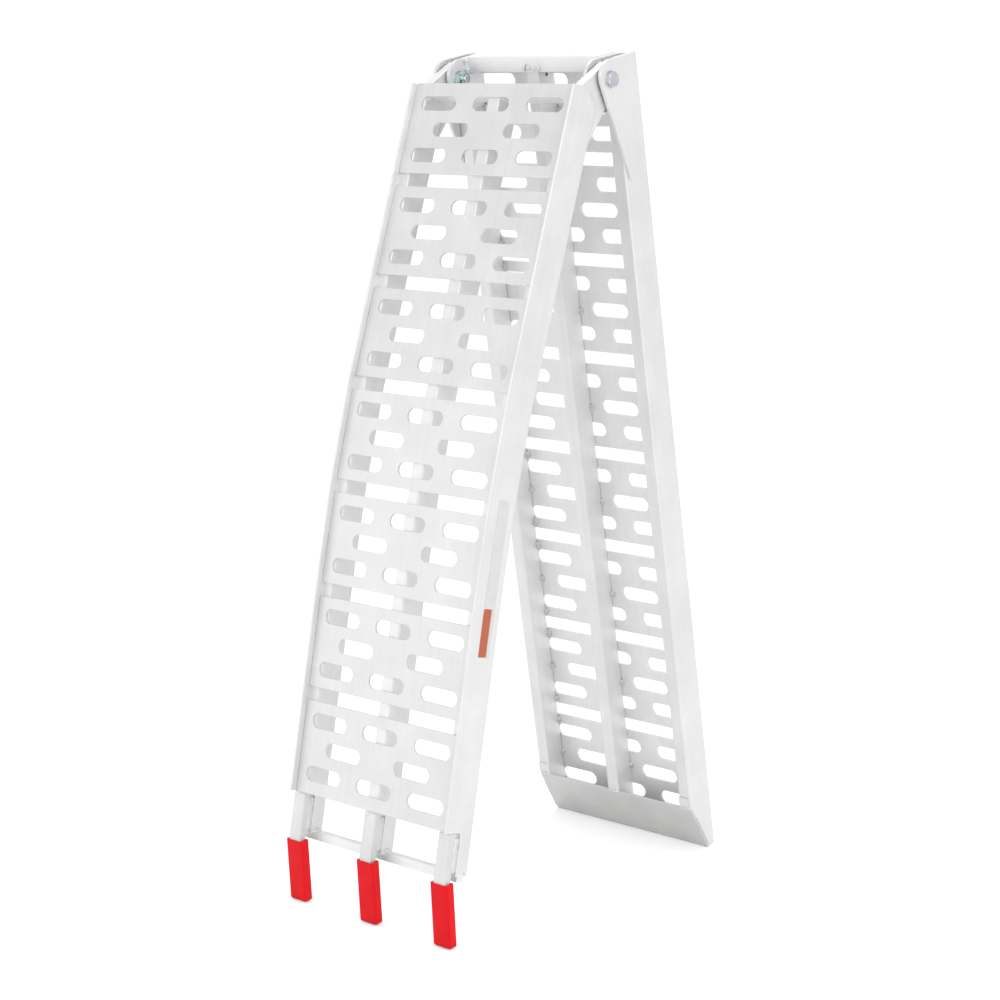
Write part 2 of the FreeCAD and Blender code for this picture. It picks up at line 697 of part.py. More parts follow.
def hexagon(x0, x1, turn):
    """Hexagonal prism, turned by this many degrees."""
    radius = HEX_AF / math.sqrt(3)
    angles = [math.radians(60 * k + turn) for k in range(6)]
    points = [Vector(x0, radius * math.cos(a), radius * math.sin(a)) for a in angles]
    return polygon_face(points).extrude(Vector(x1 - x0, 0, 0))


def hinge_bolt():
    x_top = X_HEAD + HEAD_H
    head = hexagon(X_HEAD, x_top, 22).common(x_cone(15.4, 9.4, X_HEAD, x_top))
    shank = x_cylinder(BOLT_R, X_STUD + BOLT_CHAMFER, X_HEAD)
    tip = x_cone(BOLT_R - BOLT_CHAMFER, BOLT_R, X_STUD, X_STUD + BOLT_CHAMFER)
    return at_hinge(head.fuse([shank, tip]).removeSplitter())


def lock_nut():
    """Hexagon with a rounded collar on the end away from the rail."""
    x_hex = X_NUT - NUT_HEX_H
    nut = hexagon(x_hex, X_NUT, 24).common(x_cone(9.4, 15.0, x_hex, X_NUT))
    collar = x_cylinder(COLLAR_R, X_COLLAR, x_hex)
    collar = collar.makeFillet(COLLAR_FILLET, [e for e in collar.Edges
                                               if abs(e.BoundBox.XMax - X_COLLAR) < 1e-3
                                               and abs(e.BoundBox.XMin - X_COLLAR) < 1e-3])
    nut = nut.fuse(collar).removeSplitter()
    return at_hinge(nut.cut(x_cylinder(BOLT_R, X_COLLAR - 1, X_NUT + 1)))


def rings(radius, *x_ranges):
    """Rings round the right bolt at these x ranges, and their mirror images on the left."""
    right = [at_hinge(x_cylinder(radius, x0, x1).cut(x_cylinder(BOLT_R, x0 - 1, x1 + 1)))
             for x0, x1 in x_ranges]
    return Part.makeCompound(right + [mirrored(ring) for ring in right])


write_pair("hinge_bolt", hinge_bolt())
write_pair("hinge_lock_nut", lock_nut())
write("hinge_washers", rings(WASHER_R, (X_OUT + HINGE_PLATE_T, X_HEAD),
                             (X_NUT, X_IN - HINGE_PLATE_T)))
# plastic spacers that keep the ear central between the two hinge plates
write("hinge_spacers", rings(SPACER_R, (X_OUT - SPACER_T, X_OUT), (X_IN, X_IN + SPACER_T)))


# ------------------------------------------------------------------ plain labels, right rail
def label(s0, s1, h0, h1):
    """Thin label on the outer web of the upper right rail; it follows the rail's bends."""
    def profile(section, s):
        x0, x1 = X_OUT, X_OUT + LABEL_T
        return polygon_face([section.flat(x, s, h)
                             for x, h in ((x0, h0), (x1, h0), (x1, h1), (x0, h1))])
    body = UPPER.sweep(profile, s0, s1)
    corner_edges = []
    for s in (s0, s1):
        for h in (h0, h1):
            y, z = UPPER.point(s, h)
            for edge in body.Edges:
                bounds = edge.BoundBox
                if (abs(bounds.YLength) < 1e-6 and abs(bounds.ZLength) < 1e-6
                        and abs(bounds.YMin - y) < 1e-3 and abs(bounds.ZMin - z) < 1e-3):
                    corner_edges.append(edge)
    return body.makeFillet(LABEL_CORNER_R, corner_edges)


# the white label is L-shaped and borders the orange one on two sides
write("rail_label_white", label(569.0, 709.3, -31.2, -10.2).fuse(
    label(709.3, 775.4, -31.2, -26.2)).removeSplitter())
write("rail_label_orange", label(711.0, 774.0, -25.4, -10.6))
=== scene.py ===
"""Two aluminium deck sections hinged together at the top, standing open like an A.

X runs across the deck and Z up. From the hinge pin the upper section runs down towards -Y and
the lower section down towards +Y. Places on a section are given as (x, s, h) in millimetres:
s runs down along its deck line from the pin and h out of its tread side, so that most of the
frame has a negative h.
"""
import json
import math
from collections import namedtuple

import bmesh
import bpy
from mathutils import Matrix, Vector, noise


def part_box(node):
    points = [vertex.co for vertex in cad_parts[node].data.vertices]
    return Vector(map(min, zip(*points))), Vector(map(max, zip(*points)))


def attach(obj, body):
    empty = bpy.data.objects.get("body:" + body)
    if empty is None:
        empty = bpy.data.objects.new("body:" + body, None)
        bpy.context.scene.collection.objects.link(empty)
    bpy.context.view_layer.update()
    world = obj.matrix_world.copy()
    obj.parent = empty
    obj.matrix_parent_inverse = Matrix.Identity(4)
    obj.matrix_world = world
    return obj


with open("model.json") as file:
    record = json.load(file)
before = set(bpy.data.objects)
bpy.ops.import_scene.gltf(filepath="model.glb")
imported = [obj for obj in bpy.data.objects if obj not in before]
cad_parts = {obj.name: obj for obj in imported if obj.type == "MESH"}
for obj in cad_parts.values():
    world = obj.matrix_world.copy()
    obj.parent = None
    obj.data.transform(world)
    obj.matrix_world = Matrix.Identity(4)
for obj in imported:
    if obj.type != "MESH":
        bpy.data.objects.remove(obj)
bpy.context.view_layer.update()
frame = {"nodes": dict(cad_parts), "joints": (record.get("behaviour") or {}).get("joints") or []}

NODES = frame["nodes"]
MM = 0.001
PIN = [v / MM for v in frame["joints"][0]["pos_m"]]
ACROSS = Vector((1, 0, 0))

# ---------------------------------------------------------------- driving dimensions (mm)
HALF_WIDTH = 143.0
RAIL_WIDTH = 20.0
RAIL_INNER_X = HALF_WIDTH - RAIL_WIDTH
RAIL_MID_X = HALF_WIDTH - RAIL_WIDTH / 2
BEAM_SIDE_X = 10.0                  # side faces of the centre beams
WALL = 3.0
UPPER_DEPTH = 43.7
LOWER_DEPTH = 38.5
UPPER_LENGTH = 1060.0
LOWER_LENGTH = 1138.5

PLATE_THICKNESS = 3.2
PLATE_LENGTH = 123.0
PLATE_PITCH = 141.7
UPPER_FIRST = 26.8                  # s where the first deck plate starts
LOWER_FIRST = -14.1
UPPER_PLATES = 7
LOWER_PLATES = 8

PIN_H = -55.0
FIRST_BEND = 442.5                  # s of the middle of the upper section's first bend
BEND_ARC = 16.0
BEND_DEGREES = (3.0, 3.0, 1.2)      # the bends are one plate pitch apart

FOOT_START = 1065.5                 # s of the foot plate's heel
FOOT_END_DEPTH = 8.6                # depth of its outer face at the section's end
FOOT_THICKNESS = 3.2
FOOT_ANGLE = math.atan2(LOWER_DEPTH - FOOT_END_DEPTH, LOWER_LENGTH - FOOT_START)


# ---------------------------------------------------------------- deck lines
def lean_of(node):
    """The lean from the vertical of a deck plate, from the height of its box."""
    lo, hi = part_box(node)
    height = (hi.z - lo.z) / MM
    diagonal = math.hypot(PLATE_LENGTH, PLATE_THICKNESS)
    return math.atan2(PLATE_THICKNESS, PLATE_LENGTH) + math.acos(height / diagonal)


# A straight stretch: s at its start and end, (y, z) of its start, and its lean
Segment = namedtuple("Segment", "start end origin lean")


class DeckLine:
    """Deck line of a section. Its sign is that of the Y direction it runs in."""

    def __init__(self, sign, lean, bends):
        self.sign = sign
        self.segments = []
        _, out = self.directions(lean)
        origin = (PIN[1] - PIN_H * out[0], PIN[2] - PIN_H * out[1])
        start = 0.0
        for middle, degrees in bends:
            angle = math.radians(degrees)
            radius = BEND_ARC / angle
            end = middle - BEND_ARC / 2
            self.segments.append(Segment(start, end, origin, lean))
            along, out = self.directions(lean)
            tangent = [origin[i] + (end - start) * along[i] for i in (0, 1)]
            centre = [tangent[i] - radius * out[i] for i in (0, 1)]
            lean -= angle
            _, out = self.directions(lean)
            origin = tuple(centre[i] + radius * out[i] for i in (0, 1))
            start = end + BEND_ARC
        self.segments.append(Segment(start, 1e9, origin, lean))

    def directions(self, lean):
        """(y, z) along the section and out of it."""
        return ((self.sign * math.sin(lean), -math.cos(lean)),
                (self.sign * math.cos(lean), math.sin(lean)))

    def segment(self, s):
        return next(g for g in self.segments if s <= g.end + BEND_ARC / 2)

    def point(self, x, s, h):
        """The place in metres, as in the scene."""
        start, _, origin, lean = self.segment(s)
        along, out = self.directions(lean)
        return Vector((x,
                       origin[0] + (s - start) * along[0] + h * out[0],
                       origin[1] + (s - start) * along[1] + h * out[1])) * MM

    def spot(self, x, s, h):
        """The same place in millimetres, in which the weld beads are laid."""
        return self.point(x, s, h) / MM

    def path(self, *places):
        return [self.spot(*place) for place in places]

    def along(self, s):
        return Vector((0, *self.directions(self.segment(s).lean)[0]))

    def out(self, s):
        return Vector((0, *self.directions(self.segment(s).lean)[1]))


BENDS = [(FIRST_BEND + i * PLATE_PITCH, degrees) for i, degrees in enumerate(BEND_DEGREES)]
UPPER = DeckLine(-1, lean_of("upper_deck_plate_2"), BENDS)
LOWER = DeckLine(1, lean_of("lower_deck_plate_1"), [])


# ---------------------------------------------------------------- shader helpers
def rgba(colour):
    """A grey level or an RGB triple as RGBA."""
    if isinstance(colour, (int, float)):
        colour = (colour,) * 3
    return (*colour, 1.0)


class Shader:
    """A new material with a Principled surface, and short ways to add nodes to it."""

    def __init__(self, name):
        self.material = bpy.data.materials.new(name)
        self.material.use_nodes = True
        self.tree = self.material.node_tree
        self.tree.nodes.clear()
        output = self.node("ShaderNodeOutputMaterial")
        self.surface = self.node("ShaderNodeBsdfPrincipled")
        self.feed(output.inputs[0], self.surface.outputs[0])

    def node(self, kind, **settings):
        node = self.tree.nodes.new(kind)
        for name, value in settings.items():
            setattr(node, name, value)
        return node

    def feed(self, socket, value):
        """Links a node's output to the socket, or sets a plain value."""
        if isinstance(value, bpy.types.NodeSocket):
            self.tree.links.new(value, socket)
        else:
            socket.default_value = value

    def put(self, name, value):
        self.feed(self.surface.inputs[name], value)

    def position(self):
        return self.node("ShaderNodeTexCoord").outputs["Object"]

    def noise(self, vector, output="Fac", **inputs):
        node = self.node("ShaderNodeTexNoise")
        for name, value in inputs.items():
            node.inputs[name.title()].default_value = value
        self.feed(node.inputs["Vector"], vector)
        return node.outputs[output]

    def stretch(self, vector, scale):
        node = self.node("ShaderNodeMapping")
        node.inputs["Scale"].default_value = scale
        self.feed(node.inputs[0], vector)
        return node.outputs[0]

    def math(self, operation, *operands, clamp=False):
        node = self.node("ShaderNodeMath", operation=operation, use_clamp=clamp)
        for socket, value in zip(node.inputs, operands):
            self.feed(socket, value)
        return node.outputs[0]

    def times(self, value, factor):
        return self.math("MULTIPLY", value, factor)

    def times_plus(self, value, factor, plus):
        return self.math("MULTIPLY_ADD", value, factor, plus)

    def dot(self, first, second):
        node = self.node("ShaderNodeVectorMath", operation="DOT_PRODUCT")
        self.feed(node.inputs[0], first)
        self.feed(node.inputs[1], second)
        return node.outputs["Value"]

    def ramp(self, value, *stops):
        """Colour ramp over stops of (position, grey level or RGB)."""
        node = self.node("ShaderNodeValToRGB")
        elements = node.color_ramp.elements
        for element, (position, colour) in ((elements[0], stops[0]), (elements[1], stops[-1])):
            element.position = position
            element.color = rgba(colour)
        for position, colour in stops[1:-1]:
            elements.new(position).color = rgba(colour)
        self.feed(node.inputs[0], value)
        return node.outputs[0]

    def mix(self, first, second, amount, blend="MIX"):
        node = self.node("ShaderNodeMix", data_type="RGBA", blend_type=blend)
        self.feed(node.inputs[0], amount)
        for index, colour in ((6, first), (7, second)):
            is_socket = isinstance(colour, bpy.types.NodeSocket)
            self.feed(node.inputs[index], colour if is_socket else rgba(colour))
        return node.outputs[2]

    def patchy_roughness(self, value, low, high):
        self.put("Roughness", self.ramp(value, (0.3, low), (0.7, high)))

    def bump(self, height, strength, distance):
        node = self.node("ShaderNodeBump")
        node.inputs["Strength"].default_value = strength
        node.inputs["Distance"].default_value = distance
        self.feed(node.inputs["Height"], height)
        self.put("Normal", node.outputs[0])


# ---------------------------------------------------------------- materials
def section_coordinates(shader, lean, sign):
    """Object coordinates turned to the section: x across, y along, z out."""
    position = shader.position()
    mapping = shader.node("ShaderNodeMapping", vector_type="TEXTURE")
    mapping.inputs["Rotation"].default_value = (-sign * (math.pi / 2 - lean), 0, 0)
    shader.feed(mapping.inputs[0], position)
    return mapping.outputs[0]


def handling_scratches(shader, vector, cloud):
    """Mask of sparse scratches: warped cell borders, kept where the clouds are bright."""
    cells = shader.node("ShaderNodeTexVoronoi", feature="DISTANCE_TO_EDGE")
    cells.inputs["Scale"].default_value = 1.0
    warp = shader.noise(vector, output="Color", scale=9.0, detail=2.0)
    warped = shader.node("ShaderNodeVectorMath", operation="ADD")
    shader.feed(warped.inputs[0], shader.stretch(vector, scale=(46.0, 17.0, 46.0)))
    shader.feed(warped.inputs[1], warp)
    shader.feed(cells.inputs["Vector"], warped.outputs[0])
    lines = shader.ramp(cells.outputs["Distance"], (0.0, 1), (0.012, 0))
    gate = shader.ramp(cloud, (0.52, 0), (0.66, 1))
    return shader.math("MULTIPLY", lines, gate)


def lightened_edges(shader, radius):
    """Mask of the edges, where a rounded normal departs from the true one."""
    bevel = shader.node("ShaderNodeBevel", samples=4)
    bevel.inputs["Radius"].default_value = radius
    geometry = shader.node("ShaderNodeNewGeometry")
    agreement = shader.dot(bevel.outputs[0], geometry.outputs["Normal"])
    return shader.ramp(agreement, (0.86, 1), (0.995, 0))


def aluminium(name, lean, sign, base, rough, across=False, tread_shade=None):
    """Mill-finish aluminium: fine lines along the rolling or extrusion direction, slow tone
    changes, small handling scratches and lighter edges. With across, the lines run
    in x; tread_shade darkens the tread side as painted shade."""
    def grain(fine, coarse):
        return (coarse, fine, fine) if across else (fine, coarse, fine)

    shader = Shader(name)
    vector = section_coordinates(shader, lean, sign)
    lines = shader.noise(shader.stretch(vector, grain(fine=2600.0, coarse=6.0)),
                         scale=1.0, detail=4.0, roughness=0.6)
    broad = shader.noise(shader.stretch(vector, grain(fine=210.0, coarse=2.2)),
                         scale=1.0, detail=2.0, roughness=0.5)
    cloud = shader.noise(vector, scale=17.0, detail=5.0, roughness=0.55)
    speck = shader.noise(vector, scale=900.0, detail=3.0, roughness=0.7)
    scratch = handling_scratches(shader, vector, cloud)

    darker = tuple(c * 0.955 for c in base)
    lighter = tuple(min(1.0, c * 1.03) for c in base)
    colour = shader.ramp(cloud, (0.32, darker), (0.68, lighter))
    colour = shader.mix(colour, shader.ramp(lines, (0.30, 0.93), (0.70, 1.0)),
                        amount=0.55, blend="MULTIPLY")
    colour = shader.mix(colour, shader.ramp(broad, (0.30, 0.965), (0.62, 1.0)),
                        amount=0.9, blend="MULTIPLY")
    # lighter edges: a pale grey mixed in where the rounded normal departs from the true one
    edge = lightened_edges(shader, radius=0.0011)
    colour = shader.mix(colour, (0.93, 0.935, 0.94), amount=shader.times(edge, factor=0.35))
    colour = shader.mix(colour, (0.93, 0.93, 0.935), amount=shader.times(scratch, factor=0.35))
    if tread_shade:
        # painted shade: the tread side is darkened against the underside, to hold down the light
        # that falls on it
        normal = shader.node("ShaderNodeTexCoord").outputs["Normal"]
        facing = shader.dot(normal, (0, sign * math.cos(lean), math.sin(lean)))
        top = shader.ramp(facing, (0.2, 1.0), (0.8, tread_shade))
        colour = shader.mix(colour, top, amount=1.0, blend="MULTIPLY")
    shader.put("Base Color", colour)
    shader.put("Metallic", 0.55)

    roughness = shader.times_plus(cloud, factor=0.10, plus=rough - 0.05)
    roughness = shader.times_plus(lines, factor=0.07, plus=roughness)
    polish = shader.times(scratch, factor=-0.12)
    shader.put("Roughness", shader.math("ADD", roughness, polish, clamp=True))

    line_height = shader.times(lines, factor=0.55)
    speck_height = shader.times(speck, factor=0.30)
    scratch_height = shader.times(scratch, factor=-0.6)
    height = shader.math("ADD", line_height, speck_height)
    height = shader.math("ADD", height, scratch_height)
    shader.bump(height, strength=0.22, distance=0.00012)
    return shader.material


def weld_metal(name, dark, light, crease_shade_tone):
    """Bright, slightly oxidised weld metal, darker in the creases between the ripples: painted
    shade there, together with soot.
    """
    shader = Shader(name)
    position = shader.position()
    patches = shader.noise(position, scale=420.0, detail=4.0, roughness=0.6)
    fine = shader.noise(position, scale=2100.0, detail=3.0)
    geometry = shader.node("ShaderNodeNewGeometry")
    raised = shader.ramp(geometry.outputs["Pointiness"], (0.44, 0), (0.54, 1))
    colour = shader.ramp(patches, (0.3, dark), (0.7, light))
    # painted shade and soot: the crease tone where the surface is hollow, the patchy weld colour
    # where it is raised
    shader.put("Base Color", shader.mix(crease_shade_tone, colour, amount=raised))
    shader.put("Metallic", 0.7)
    shader.patchy_roughness(patches, low=0.30, high=0.5)
    shader.bump(fine, strength=0.35, distance=0.0002)
    return shader.material


def zinc(name, tints, dark, patch_scale, band_scale):
    """Bright zinc plate: faintly iridescent patches under dark bands of reflection."""
    shader = Shader(name)
    coordinates = shader.node("ShaderNodeTexCoord")
    position = coordinates.outputs["Object"]
    patches = shader.noise(position, scale=patch_scale, detail=4.0, roughness=0.6)
    colour = shader.ramp(patches, *tints)
    # dark bands as a studio would show in bright metal
    reflected = shader.noise(coordinates.outputs["Reflection"],
                             scale=band_scale, detail=1.5, distortion=0.4)
    bands = shader.ramp(reflected, (0.36, dark), (0.50, 0.72), (0.60, 1.0))
    shader.put("Base Color", shader.mix(colour, bands, amount=1.0, blend="MULTIPLY"))
    shader.put("Metallic", 0.9)
    shader.patchy_roughness(patches, low=0.20, high=0.34)
    fine = shader.noise(position, scale=1600.0, detail=3.0)
    shader.bump(fine, strength=0.15, distance=0.0001)
    return shader.material


def vinyl(name):
    """Dipped red vinyl: slightly glossy, with orange peel and a little dust."""
    shader = Shader(name)
    position = shader.position()
    patches = shader.noise(position, scale=38.0, detail=3.0, roughness=0.5)
    peel = shader.noise(position, scale=520.0, detail=2.0)
    fine = shader.noise(position, scale=2600.0, detail=2.0)
    colour = shader.ramp(patches, (0.30, (0.72, 0.003, 0.008)), (0.70, (0.82, 0.006, 0.012)))
    dust = shader.ramp(fine, (0.62, 0), (0.74, 1))
    colour = shader.mix(colour, (0.9, 0.22, 0.22), amount=shader.times(dust, factor=0.06))
    # the white surroundings drown most of the red that it throws on its neighbours
    rays = shader.node("ShaderNodeLightPath")
    colour = shader.mix((0.36, 0.30, 0.30), colour, amount=rays.outputs["Is Camera Ray"])
    shader.put("Base Color", colour)
    shader.patchy_roughness(patches, low=0.34, high=0.46)
    shader.put("Specular IOR Level", 0.15)
    height = shader.math("ADD", shader.times(peel, factor=0.7), shader.times(fine, factor=0.25))
    shader.bump(height, strength=0.30, distance=0.00022)
    return shader.material


def printed(name, colour):
    """Thin printed vinyl label with a fine grain and soft scuffs."""
    shader = Shader(name)
    position = shader.position()
    scuffs = shader.noise(position, scale=85.0, detail=4.0, roughness=0.6)
    fine = shader.noise(position, scale=1900.0, detail=2.0)
    darker = tuple(c * 0.95 for c in colour)
    lighter = tuple(min(1.0, c * 1.02) for c in colour)
    shader.put("Base Color", shader.ramp(scuffs, (0.35, darker), (0.65, lighter)))
    shader.patchy_roughness(scuffs, low=0.39, high=0.51)
    shader.bump(fine, strength=0.12, distance=0.0001)
    return shader.material


def nylon(name):
    """Black nylon with a fine mottle."""
    shader = Shader(name)
    mottle = shader.noise(shader.position(), scale=300.0, detail=4.0)
    shader.put("Base Color", shader.ramp(mottle, (0.3, (0.045, 0.045, 0.048)),
                                         (0.7, (0.075, 0.075, 0.08))))
    shader.patchy_roughness(mottle, low=0.5, high=0.65)
    shader.bump(mottle, strength=0.2, distance=0.0001)
    return shader.material


UPPER_LEANS = [segment.lean for segment in UPPER.segments]
IN_LOWER = dict(lean=LOWER.segments[0].lean, sign=LOWER.sign)
FRAME_LOOK = dict(base=(0.82, 0.82, 0.82), rough=0.40)

# painted light: the upper section's deck plates take a darker base grey than the lower section's,
# lit and shaded copies of one aluminium set to how the light falls on each section
DECK_UPPER = [aluminium("deck_aluminium_up%d" % i, lean, UPPER.sign,
                        base=(0.765, 0.765, 0.765), rough=0.44)
              for i, lean in enumerate(UPPER_LEANS)]
DECK_LOWER = aluminium("deck_aluminium_low", **IN_LOWER, base=(0.87, 0.87, 0.87), rough=0.46,
                       tread_shade=0.80)
# for the lean at the hinge, the mean lean and the lean at the fingers; no piece wears the last
FRAME_UPPER = [aluminium("frame_aluminium_up%d" % i, lean, UPPER.sign, **FRAME_LOOK)
               for i, lean in enumerate((UPPER_LEANS[0],
                                         sum(UPPER_LEANS) / len(UPPER_LEANS),
                                         UPPER_LEANS[-1]))]
FRAME_LOWER = aluminium("frame_aluminium_low", **IN_LOWER, **FRAME_LOOK)
# painted light: a lighter grey than the frame, to lift the shade that falls over the crossbars'
# faces
CROSSBAR = aluminium("crossbar_aluminium", **IN_LOWER, base=(0.88, 0.88, 0.88), rough=0.42,
                     across=True)
# painted shade: a darker grey than the rest of the frame, for how dimly the fingers are lit
FINGER = aluminium("finger_aluminium", UPPER_LEANS[-1], UPPER.sign, base=(0.745, 0.745, 0.74),
                   rough=0.44)
WELD = weld_metal("weld_metal", dark=0.70, light=0.87, crease_shade_tone=0.56)
WELD_EAR = weld_metal("weld_metal_ears", dark=0.62, light=0.76, crease_shade_tone=0.40)
# darker weld metal, with a deeper crease tone, for the lower section's beads
WELD_DARKER = weld_metal("weld_metal_darker", dark=0.58, light=0.80, crease_shade_tone=0.30)
ZINC = zinc("bright_zinc",
            tints=((0.30, (0.68, 0.70, 0.77)), (0.52, (0.78, 0.80, 0.86)),
                   (0.70, (0.88, 0.89, 0.91))),
            dark=(0.78, 0.80, 0.86), patch_scale=70.0, band_scale=3.2)
ZINC_PALE = zinc("pale_zinc",
                 tints=((0.30, (0.78, 0.79, 0.81)), (0.52, (0.84, 0.85, 0.86)),
                        (0.70, (0.90, 0.90, 0.91))),
                 dark=(0.62, 0.63, 0.66), patch_scale=90.0, band_scale=1.2)
ZINC_GREEN = zinc("green_zinc",
                  tints=((0.32, (0.34, 0.52, 0.52)), (0.50, (0.62, 0.80, 0.78)),
                         (0.66, (0.86, 0.95, 0.93))),
                  dark=(0.03, 0.09, 0.11), patch_scale=150.0, band_scale=2.3)
VINYL = vinyl("red_vinyl")
NYLON = nylon("black_nylon")
LABEL_WHITE = printed("label_white_print", (0.66, 0.66, 0.652))
LABEL_ORANGE = printed("label_orange_print", (0.49, 0.112, 0.050))
FOOT = aluminium("foot_aluminium", **IN_LOWER, base=(0.70, 0.70, 0.695), rough=0.46, across=True)


# ---------------------------------------------------------------- edges and paint of the CAD pieces
def clean_group():
    """Joins the split vertices of the imported mesh and shades it smooth, as a modifier."""
    group = bpy.data.node_groups.new("cad_clean", "GeometryNodeTree")
    for direction in ("INPUT", "OUTPUT"):
        group.interface.new_socket("Geometry", in_out=direction,
                                   socket_type="NodeSocketGeometry")
    source = group.nodes.new("NodeGroupInput")
    output = group.nodes.new("NodeGroupOutput")
    remove = group.nodes.new("GeometryNodeRemoveAttribute")
    remove.inputs["Name"].default_value = "custom_normal"
    merge = group.nodes.new("GeometryNodeMergeByDistance")
    merge.inputs["Distance"].default_value = 2e-6
    smooth = group.nodes.new("GeometryNodeSetShadeSmooth")
    chain = (source, remove, merge, smooth, output)
    for before, after in zip(chain, chain[1:]):
        group.links.new(before.outputs[0], after.inputs[0])
    return group


CLEAN = clean_group()
FLAT_ANGLE = math.radians(0.35)     # faces closer than this are merged into one
EDGE_ANGLE = math.radians(28.0)     # edges sharper than this are rounded


def finish_piece(node, edge_mm, material, segments=2):
    """Rounds the edges of a CAD piece and gives it its material."""
    piece = NODES[node]
    piece.modifiers.new("clean", "NODES").node_group = CLEAN
    flat = piece.modifiers.new("flat", "DECIMATE")
    flat.decimate_type = "DISSOLVE"
    flat.angle_limit = FLAT_ANGLE
    edge = piece.modifiers.new("edge", "BEVEL")
    edge.width = edge_mm * MM
    edge.segments = segments
    edge.limit_method = "ANGLE"
    edge.angle_limit = EDGE_ANGLE
    edge.harden_normals = True
    edge.use_clamp_overlap = True
    edge.miter_outer = "MITER_ARC"
    piece.data.materials.clear()
    piece.data.materials.append(material)


DECK_EDGE = 0.55
# edge rounding (mm), material, pieces
FINISHES = (
    (0.35, FRAME_UPPER[1], ("upper_rail_left", "upper_rail_right", "upper_centre_beam")),
    (0.35, CROSSBAR, ("upper_hinge_crossbar", "lower_hinge_crossbar")),
    (0.3, CROSSBAR, ("finger_crossbar",)),
    (0.8, FINGER, ("finger_left", "finger_centre", "finger_right")),
    (0.8, FRAME_UPPER[0], ("hinge_ear_left", "hinge_ear_right")),
    (0.35, FRAME_LOWER, ("lower_rail_left", "lower_rail_right", "lower_centre_beam")),
    (0.7, FOOT, ("foot_plate",)),
    (0.6, FRAME_LOWER, ("hinge_plate_outer_left", "hinge_plate_inner_left",
                        "hinge_plate_inner_right", "hinge_plate_outer_right")),
    (0.25, ZINC, ("hinge_bolt_left", "hinge_bolt_right")),
    (0.25, ZINC_GREEN, ("hinge_lock_nut_left", "hinge_lock_nut_right")),
    (0.25, ZINC_PALE, ("hinge_washers",)),
    (0.25, NYLON, ("hinge_spacers",)),
    (0.05, LABEL_WHITE, ("rail_label_white",)),
    (0.05, LABEL_ORANGE, ("rail_label_orange",)),
)


def plate_centre(first, index):
    return first + index * PLATE_PITCH + PLATE_LENGTH / 2


for k in range(UPPER_PLATES):
    stretch = UPPER.segments.index(UPPER.segment(plate_centre(UPPER_FIRST, k)))
    finish_piece("upper_deck_plate_%d" % (k + 1), DECK_EDGE, DECK_UPPER[stretch])
for k in range(LOWER_PLATES):
    finish_piece("lower_deck_plate_%d" % (k + 1), DECK_EDGE, DECK_LOWER)
for edge_mm, material, pieces in FINISHES:
    for piece in pieces:
        finish_piece(piece, edge_mm, material)
for place in ("left", "centre", "right"):
    finish_piece("finger_boot_" + place, 0.5, VINYL, segments=3)


# ---------------------------------------------------------------- mesh and bead builders
class Shells:
    """Collects closed shells, in metres, that become one object."""

    def __init__(self):
        self.verts = []
        self.faces = []

    def add(self, verts, faces):
        first = len(self.verts)
        self.verts += verts
        self.faces += [tuple(i + first for i in face) for face in faces]

    def build(self, name, body, material, slot="frame_aluminium", smooth=True):
        mesh = bpy.data.meshes.new(name)
        mesh.from_pydata([tuple(v) for v in self.verts], [], self.faces)
        mesh.validate()
        bm = bmesh.new()
        bm.from_mesh(mesh)
        bmesh.ops.remove_doubles(bm, verts=bm.verts, dist=1e-7)
        bmesh.ops.recalc_face_normals(bm, faces=bm.faces)
        bm.to_mesh(mesh)
        bm.free()
        if smooth:
            mesh.shade_smooth()
        mesh.materials.append(material)
        obj = bpy.data.objects.new(name, mesh)
        bpy.context.scene.collection.objects.link(obj)
        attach(obj, body)


def tube_sides(rings, size):
    """Quads between consecutive rings of size vertices."""
    faces = []
    for i in range(rings - 1):
        for j in range(size):
            a, b = i * size + j, i * size + (j + 1) % size
            faces.append((a, b, b + size, a + size))
    return faces


def jitter(x, y, z):
    return noise.noise(Vector((x, y, z)))


def resample(path, step):
    """Points at most a step apart, each with its distance along the path; and the length."""
    dense = []
    total = 0.0
    for start, end in zip(path, path[1:]):
        length = (end - start).length
        count = max(1, math.ceil(length / step))
        for k in range(count):
            dense.append((start.lerp(end, k / count), total + length * k / count))
        total += length
    dense.append((path[-1], total))
    return dense, total


def end_size(to_end, taper):
    """Share of the full size at a distance from the nearer end of a bead."""
    if to_end >= taper:
        return 1.0
    rest = 1 - to_end / taper
    return math.sqrt(max(0.0, 1 - rest * rest)) * 0.97 + 0.03


# Unevenness of a bead, as a share of its width, and the noise's steps per mm
WOBBLE, WOBBLE_RATE = 0.10, 0.13    # of its size
DRIFT, DRIFT_RATE = 0.16, 0.09      # sideways, of flat beads


